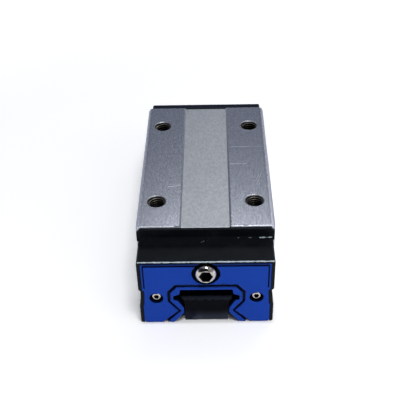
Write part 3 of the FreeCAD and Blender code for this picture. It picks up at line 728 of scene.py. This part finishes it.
# %% Geometry Nodes helpers, for meshes
def grow(name, tree, material, **inputs):
    """A plain mesh object from a geometry tree, with its faces turned outwards."""
    piece = bpy.data.objects.new(name, bpy.data.meshes.new(name))
    bpy.context.scene.collection.objects.link(piece)
    modifier = piece.modifiers.new(name, "NODES")
    modifier.node_group = tree
    sockets = {item.name: item.identifier for item in tree.interface.items_tree
               if item.in_out == "INPUT"}
    for socket, setting in inputs.items():
        modifier[sockets[socket.replace("_", " ")]] = setting
    modifier[sockets["Material"]] = material
    evaluated = piece.evaluated_get(bpy.context.evaluated_depsgraph_get())
    grown = bpy.data.meshes.new_from_object(evaluated)
    piece.modifiers.remove(modifier)
    outward = bmesh.new()
    outward.from_mesh(grown)
    bmesh.ops.recalc_face_normals(outward, faces=outward.faces)
    outward.to_mesh(grown)
    outward.free()
    piece.data = grown
    grown.name = name
    print(f"{name}: {len(grown.polygons)} faces")
    return piece


print("helper for meshes ready")

# %% [markdown]
# ## Threads of the mounting holes
#
# The solid has plain M6 holes at the thread's outer diameter. A bump could hint at the thread, but
# its turns show on the far wall, so it is a real ridge that winds down the hole: a trapezoid swept
# along a spiral, its narrow side inwards, with the spiral's normals kept level so that the ridge
# doesn't twist. The deeper turns are darkened with painted shade. It is made once and set in
# all four holes.

# %% Threads of the mounting holes
RIDGE_SUNK = 0.45
RIDGE_ROOT, RIDGE_CREST = 0.3, 0.1
# painted shade on the deeper turns, growing between these heights of the spiral
DEEP_SHADE_FROM, DEEP_SHADE_TO, DEEP_SHADE_LEVEL = 7.6 * MM, 5.2 * MM, 0.9

thread_tree, entry = new_shape_tree("mounting_thread", {
    "Hole Radius": 3.0 * MM, "Ridge Height": 0.20 * MM, "Pitch": 1.0 * MM, "Turns": 8.0,
    "Start Height": 0.0, "Spacing X": 35.0 * MM, "Spacing Y": 50.0 * MM})
ridge, pitch = entry["Ridge Height"], entry["Pitch"]
path_radius = calculate(thread_tree, "MULTIPLY_ADD", ridge, -RIDGE_SUNK, entry["Hole Radius"])
spiral = add_node(thread_tree, "GeometryNodeCurveSpiral", {
    "Resolution": 40, "Rotations": entry["Turns"], "Start Radius": path_radius,
    "End Radius": path_radius, "Height": calculate(thread_tree, "MULTIPLY", entry["Turns"], pitch)})
level = add_node(thread_tree, "GeometryNodeSetCurveNormal", {
    "Curve": spiral.outputs[0]}, mode="Z_UP")
profile = add_node(thread_tree, "GeometryNodeCurvePrimitiveQuadrilateral", {
    "Height": ridge, "Bottom Width": calculate(thread_tree, "MULTIPLY", pitch, RIDGE_ROOT),
    "Top Width": calculate(thread_tree, "MULTIPLY", pitch, RIDGE_CREST), "Offset": 0.0},
    mode="TRAPEZOID")
inward = change(thread_tree, "GeometryNodeTransform", profile.outputs[0], {
    "Rotation": (0, 0, math.radians(-90))})
thread = add_node(thread_tree, "GeometryNodeCurveToMesh", {
    "Curve": level.outputs[0], "Profile Curve": inward, "Fill Caps": True})
position = thread_tree.nodes.new("GeometryNodeInputPosition").outputs[0]
# painted shade, growing towards the bottom of the thread
painted_deep_shade = rescale(thread_tree, split(thread_tree, position)["Z"], DEEP_SHADE_FROM, DEEP_SHADE_TO, 0, DEEP_SHADE_LEVEL)
shaded = shade_by(thread_tree, thread.outputs[0], painted_deep_shade)
holes = add_node(thread_tree, "GeometryNodeMeshGrid", {
    "Size X": entry["Spacing X"], "Size Y": entry["Spacing Y"], "Vertices X": 2, "Vertices Y": 2})
raised = change(thread_tree, "GeometryNodeTransform", holes.outputs[0], {
    "Translation": join(thread_tree, Z=entry["Start Height"])})
threads = repeat(thread_tree, raised, shaded)
end_shape_tree(thread_tree, entry, threads, sharp_from=math.radians(40))
print("thread tree ready")

# %% Threads, set in place
THREAD_DEPTH = 8.7 * MM

mounting_threads = grow(
    "mounting_threads", thread_tree, thread_steel, Spacing_X=hole_spacing[0],
    Spacing_Y=hole_spacing[1], Hole_Radius=bolts["dims"]["hole_r_mm"] * MM,
    Start_Height=bolts["pos_m"][2] - THREAD_DEPTH)
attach(mounting_threads, "block")

# %% [markdown]
# ## Plugs and cap screws
#
# The grease-port plugs and the cap screws are turned parts with a domed head and a hexagon socket.
# Blender's Screw modifier could spin a profile, but it can't make the socket six-sided. Here a grid
# is bent round instead: its columns go round the axis and its rows follow the profile, from the
# socket's floor over the face and the domed edge down to the tip of the shank. In the socket, the
# radius is that of a hexagon. One tree makes both kinds.

# %% Plugs and cap screws, their profile
COLUMNS = 48
DOME_STEPS = 8
DOME_START, DOME_END = math.radians(20), math.radians(65)

turned_tree, entry = new_shape_tree("turned_fastener", {
    "Head Radius": 3.8 * MM, "Head Height": 3.7 * MM, "Edge": 1.2 * MM, "Dome": 1.4 * MM,
    "Shank Radius": 3.0 * MM, "Shank Length": 5.0 * MM, "Socket": 4.1 * MM,
    "Socket Depth": 2.6 * MM, "Socket Rim": 0.15 * MM, "Count": 1, "Half Spacing": 0.0,
    "Height": 23.5 * MM, "Seat": 49.4 * MM, "Facing": 0.0})


def turned(operation, *operands):
    """Output of a Math node in the fastener tree."""
    return calculate(turned_tree, operation, *operands)


face = entry["Head Height"]
socket_half = turned("DIVIDE", entry["Socket"], 2)
socket_floor = turned("SUBTRACT", face, entry["Socket Depth"])
flat_radius = turned("SUBTRACT", entry["Head Radius"], entry["Edge"])
tip = turned("MULTIPLY", entry["Shank Length"], -1)
socket_rows = [
    (0.0, socket_floor),
    (socket_half, socket_floor),
    (socket_half, turned("SUBTRACT", face, entry["Socket Rim"])),
    (turned("ADD", socket_half, entry["Socket Rim"]), face),
]
outer_rows = []
for step in range(DOME_STEPS + 1):
    bend = DOME_START + (DOME_END - DOME_START) * step / DOME_STEPS
    out = (math.sin(bend) - math.sin(DOME_START)) / (math.sin(DOME_END) - math.sin(DOME_START))
    fall = (math.cos(DOME_START) - math.cos(bend)) / (math.cos(DOME_START) - math.cos(DOME_END))
    outer_rows.append((turned("MULTIPLY_ADD", entry["Edge"], out, flat_radius),
                       turned("MULTIPLY_ADD", entry["Dome"], -fall, face)))
outer_rows += [(entry["Head Radius"], 0.0), (entry["Shank Radius"], 0.0),
               (entry["Shank Radius"], tip), (0.0, tip)]
radii, heights = zip(*socket_rows, *outer_rows)
rows = len(radii)
print(f"{rows} rows of {COLUMNS} columns")

# %% Plugs and cap screws, their shape
# shade on the socket's floor, at its middle and its edge, and at the top of its wall
SOCKET_SHADES = [0.25, 0.8, 0.9]
MERGED_WITHIN = 0.001 * MM
SIXTH_TURN = math.pi / 3


def pick(index, options):
    """The option with the index, as a field."""
    node = add_node(turned_tree, "GeometryNodeIndexSwitch", {"Index": index}, data_type="FLOAT")
    for _ in options[2:]:
        node.index_switch_items.new()
    for socket, option in zip(node.inputs[1:], options):
        feed(turned_tree, socket, option)
    return node.outputs[0]


grid = add_node(turned_tree, "GeometryNodeMeshGrid", {
    "Vertices X": COLUMNS + 1, "Vertices Y": rows})
index = turned_tree.nodes.new("GeometryNodeInputIndex").outputs[0]
row = turned("MODULO", index, rows)
column = turned("FLOOR", turned("DIVIDE", index, rows))
around = turned("MULTIPLY", column, 2 * math.pi / COLUMNS)
from_flat = turned("SUBTRACT", turned("MODULO", around, SIXTH_TURN), SIXTH_TURN / 2)
hexagon = turned("SUBTRACT", turned("DIVIDE", 1, turned("COSINE", from_flat)), 1)
in_socket = pick(row, [1.0] * len(socket_rows) + [0.0] * len(outer_rows))
radius = turned("MULTIPLY", pick(row, radii), turned("MULTIPLY_ADD", in_socket, hexagon, 1))
bent = change(turned_tree, "GeometryNodeSetPosition", grid.outputs[0], {"Position": join(
    turned_tree,
    X=turned("MULTIPLY", radius, turned("COSINE", around)),
    Y=turned("SUBTRACT", turned("MULTIPLY", entry["Seat"], -1), pick(row, heights)),
    Z=turned("MULTIPLY", radius, turned("SINE", around)))})
shades = SOCKET_SHADES + [0.0] * (rows - len(SOCKET_SHADES))
shaded = shade_by(turned_tree, bent, pick(row, shades))
closed = change(turned_tree, "GeometryNodeMergeByDistance", shaded, {"Distance": MERGED_WITHIN})
print("fastener shape ready")

# %% Plugs and cap screws, their places
first = join(turned_tree, X=turned("MULTIPLY", entry["Half Spacing"], -1), Z=entry["Height"])
places = add_node(turned_tree, "GeometryNodeMeshLine", {
    "Count": entry["Count"], "Start Location": first,
    "Offset": join(turned_tree, X=turned("MULTIPLY", entry["Half Spacing"], 2))})
fasteners = repeat(turned_tree, places.outputs[0], closed)
faced = change(turned_tree, "GeometryNodeTransform", fasteners, {
    "Rotation": join(turned_tree, Z=entry["Facing"])})
end_shape_tree(turned_tree, entry, faced, sharp_from=math.radians(35))
print("fastener tree ready")

# %% Plugs and cap screws, set in place
FASTENERS = {
    # how many at an end, and sizes in millimetres
    "grease_plug": (1, {
        "Head_Height": 3.7, "Edge": 1.2, "Dome": 1.4, "Shank_Radius": 3.0, "Socket": 4.1,
        "Socket_Depth": 2.6, "Socket_Rim": 0.15}),
    "cap_screws": (2, {
        "Head_Height": 1.5, "Edge": 0.5, "Dome": 0.3, "Shank_Radius": 1.2, "Socket": 1.6,
        "Socket_Depth": 1.2, "Socket_Rim": 0.1}),
}
for end, facing in (("front", 0.0), ("rear", math.pi)):
    for kind, (count, millimetres) in FASTENERS.items():
        name = f"{end}_{kind}"
        low, high = (Vector(corner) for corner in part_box(name))
        sizes = {size: length * MM for size, length in millimetres.items()}
        reach_in, reach_out = sorted((abs(low.y), abs(high.y)))
        head_radius = (high.z - low.z) / 2
        seat = reach_out - sizes["Head_Height"]
        fastener = grow(
            f"turned_{name}", turned_tree, finishes["bright_steel"], **sizes, Count=count,
            Head_Radius=head_radius, Seat=seat, Shank_Length=seat - reach_in,
            Half_Spacing=high.x - head_radius, Height=(low.z + high.z) / 2, Facing=facing)
        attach(fastener, "block")
        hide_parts(name)

# %% [markdown]
# ## Ball rows
#
# The solids stand in for the balls with a few flat faces each. True balls take their place here.
# They could be copies of one sphere, but a row is easier to size as a whole: one round ball, set
# along a line. They only show when the mounting rail is out.

# %% Ball rows
BALL_PITCH = 4.8 * MM

ball_tree, entry = new_shape_tree("ball_row", {
    "Radius": 2.38 * MM, "Pitch": BALL_PITCH, "Count": 16, "Across": 0.0, "Height": 0.0})
ball = add_node(ball_tree, "GeometryNodeMeshUVSphere", {
    "Segments": 24, "Rings": 12, "Radius": entry["Radius"]})
gaps = calculate(ball_tree, "SUBTRACT", entry["Count"], 1)
row_start = calculate(ball_tree, "MULTIPLY", gaps,
                      calculate(ball_tree, "MULTIPLY", entry["Pitch"], -0.5))
first = join(ball_tree, X=entry["Across"], Y=row_start, Z=entry["Height"])
places = add_node(ball_tree, "GeometryNodeMeshLine", {
    "Count": entry["Count"], "Start Location": first,
    "Offset": join(ball_tree, Y=entry["Pitch"])})
balls = repeat(ball_tree, places.outputs[0], ball.outputs[0])
end_shape_tree(ball_tree, entry, balls, sharp_from=math.pi)

for name in sorted(node for node in nodes if node.endswith("_balls")):
    low, high = (Vector(corner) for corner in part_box(name))
    ball_row = grow(
        f"round_{name}", ball_tree, finishes["ball_steel"], Radius=(high.z - low.z) / 2,
        Pitch=BALL_PITCH, Count=round((high.y - low.y) / BALL_PITCH),
        Across=(low.x + high.x) / 2, Height=(low.z + high.z) / 2)
    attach(ball_row, "block")
    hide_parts(name)

# %% [markdown]
# ## Floor and light
#
# The block stands on a white floor in a studio. The floor is a pale surface that takes the block's
# shadow. Brighter lamps could make it white, but they would bleach the block too. So it glows a
# little instead, to the camera and in reflections, more so far off, and not under the block.
# Polished steel shows what is round it, so the studio isn't one flat white: it is white near the
# floor, dark and a little blue higher up, lighter again overhead, and dim on the camera's side.
# That gives the pads their fall from dark at the back to bright at the front. The camera itself
# sees plain white beyond the floor. A broad panel stands behind the block, the main light is
# overhead and a little in front, and a weaker one fills in from the front right.

# %% Floor
FLOOR_HALF = 1.5

floor_mesh = bpy.data.meshes.new("floor")
corners = [(x * FLOOR_HALF, y * FLOOR_HALF, 0) for x, y in ((-1, -1), (1, -1), (1, 1), (-1, 1))]
floor_mesh.from_pydata(corners, [], [(0, 1, 2, 3)])
floor = bpy.data.objects.new("floor", floor_mesh)
bpy.context.scene.collection.objects.link(floor)
print("floor ready")

# %% Floor paint
FLOOR_COLOUR = (0.9, 0.9, 0.9, 1)
WHITE = (1, 1, 1, 1)
# where the glow sets in, beside the block, beyond its ends and far off
BESIDE = (20 * MM, 26 * MM)
BEYOND = (51.4 * MM, 53 * MM)
FAR = (0.12, 0.5)
NEAR_GLOW, FAR_GLOW = 0.3, 0.7

floor_paint = bpy.data.materials.new("floor_paint")
floor_paint.use_nodes = True
tree = floor_paint.node_tree
tree.nodes.clear()
ray = tree.nodes.new("ShaderNodeLightPath").outputs
seen = calculate(tree, "MAXIMUM", ray["Is Camera Ray"],
                 calculate(tree, "MAXIMUM", ray["Is Glossy Ray"], ray["Is Transmission Ray"]))
place = tree.nodes.new("ShaderNodeTexCoord").outputs["Object"]
across, along, _ = split(tree, place)
beside = rescale(tree, calculate(tree, "ABSOLUTE", across), *BESIDE)
beyond = rescale(tree, calculate(tree, "ABSOLUTE", along), *BEYOND)
clear_of_block = calculate(tree, "MAXIMUM", beside, beyond)
far = rescale(tree, combine(tree, "LENGTH", "Value", place), *FAR, 0, FAR_GLOW)
strength = calculate(tree, "MULTIPLY_ADD", clear_of_block, NEAR_GLOW, far)
pale = add_node(tree, "ShaderNodeBsdfDiffuse", {"Color": FLOOR_COLOUR})
glow = add_node(tree, "ShaderNodeEmission", {
    "Color": WHITE, "Strength": calculate(tree, "MULTIPLY", seen, strength)})
both = add_node(tree, "ShaderNodeAddShader", {0: pale.outputs[0], 1: glow.outputs[0]})
add_node(tree, "ShaderNodeOutputMaterial", {"Surface": both.outputs[0]})
floor_mesh.materials.append(floor_paint)
print("floor painted")

# %% Studio
SKY = [
    # height of the direction (0 at the floor, 1 overhead) and colour
    (0.00, (0.95, 0.96, 1.00)),
    (0.25, (0.46, 0.52, 0.64)),
    (0.46, (0.12, 0.135, 0.19)),
    (0.60, (0.17, 0.185, 0.23)),
    (1.00, (0.34, 0.35, 0.37)),
]
# directions to the camera's side between which the studio dims, and how far
DIMMED = (-0.7, -0.2)
DIMMED_LEVEL = 0.15
BLACK = (0, 0, 0, 1)

world = bpy.data.worlds.new("studio")
bpy.context.scene.world = world
world.use_nodes = True
tree = world.node_tree
tree.nodes.clear()
direction = tree.nodes.new("ShaderNodeTexCoord").outputs["Generated"]
_, backward, rise = split(tree, direction)
ramp = add_node(tree, "ShaderNodeValToRGB", {"Fac": rise})
stops = ramp.color_ramp.elements
stops.remove(stops[1])
for position, colour in SKY:
    stop = stops[0] if position == 0 else stops.new(position)
    stop.color = (*colour, 1)
level = rescale(tree, backward, *DIMMED, DIMMED_LEVEL, 1)
studio = mix_colours(tree, level, BLACK, ramp.outputs["Color"])
ray = tree.nodes.new("ShaderNodeLightPath").outputs
seen = calculate(tree, "MAXIMUM", ray["Is Camera Ray"], ray["Is Transmission Ray"])
sky = add_node(tree, "ShaderNodeBackground", {"Color": mix_colours(tree, seen, studio, WHITE)})
add_node(tree, "ShaderNodeOutputWorld", {"Surface": sky.outputs[0]})
print(f"studio with {len(SKY)} stops")

# %% Lamps
LAMPS = {
    # place, aim, width and height in metres, and power in watts
    "back_panel": ((0.15, 0.46, 0.70), (0, 0, 0.03), 0.55, 0.26, 1.1),
    "main_light": ((0.10, -0.28, 0.80), (0, 0, 0.02), 0.20, 0.20, 3.2),
    "fill_light": ((0.36, -0.34, 0.26), (0, 0, 0.02), 0.50, 0.50, 0.86),
}
for name, (place, aim, width, height, power) in LAMPS.items():
    lamp_data = bpy.data.lights.new(name, "AREA")
    lamp_data.shape = "RECTANGLE"
    lamp_data.size = width
    lamp_data.size_y = height
    lamp_data.energy = power
    lamp = bpy.data.objects.new(name, lamp_data)
    lamp.location = place
    lamp.rotation_euler = (Vector(aim) - Vector(place)).to_track_quat("-Z", "Y").to_euler()
    bpy.context.scene.collection.objects.link(lamp)
bpy.context.scene.view_settings.view_transform = "Standard"
print(f"{len(LAMPS)} lamps ready")
